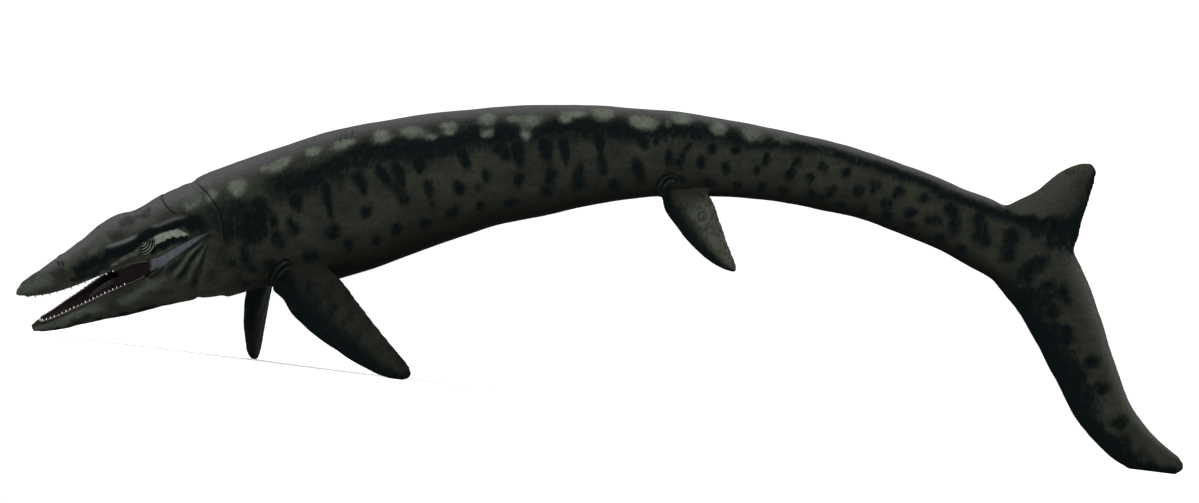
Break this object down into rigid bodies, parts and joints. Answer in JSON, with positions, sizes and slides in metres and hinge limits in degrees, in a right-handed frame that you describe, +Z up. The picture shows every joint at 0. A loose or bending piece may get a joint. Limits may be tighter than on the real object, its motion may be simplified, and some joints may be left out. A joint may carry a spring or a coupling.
{
  "type": "mosasaur figure",
  "caption": "Solid display figure of a mosasaur with its mouth open, arched to stand on its front flippers and the tip of its tail.",
  "frame": {"origin": "on the floor plane, under the middle of the figure's box", "axes": "+Z up, +X from the snout towards the tail, -Y towards the animal's left side"},
  "size_m": [0.5886, 0.1578, 0.1495],
  "materials": {
    "skin": "painted smooth skin, dark olive grey with darker blotches, satin",
    "mouth": "painted mouth lining and tongue, dark purple brown, slightly moist",
    "teeth": "painted ivory, satin gloss",
    "eye": "dark, glossy"
  },
  "bodies": {
    "root": {"body": "skin", "lower_jaw": "skin", "tongue": "mouth", "upper_teeth": "teeth", "lower_teeth": "teeth", "eye_left": "eye", "eye_right": "eye", "front_flipper_left": "skin", "front_flipper_right": "skin", "hind_flipper_left": "skin", "hind_flipper_right": "skin"}
  },
  "joints": []
}
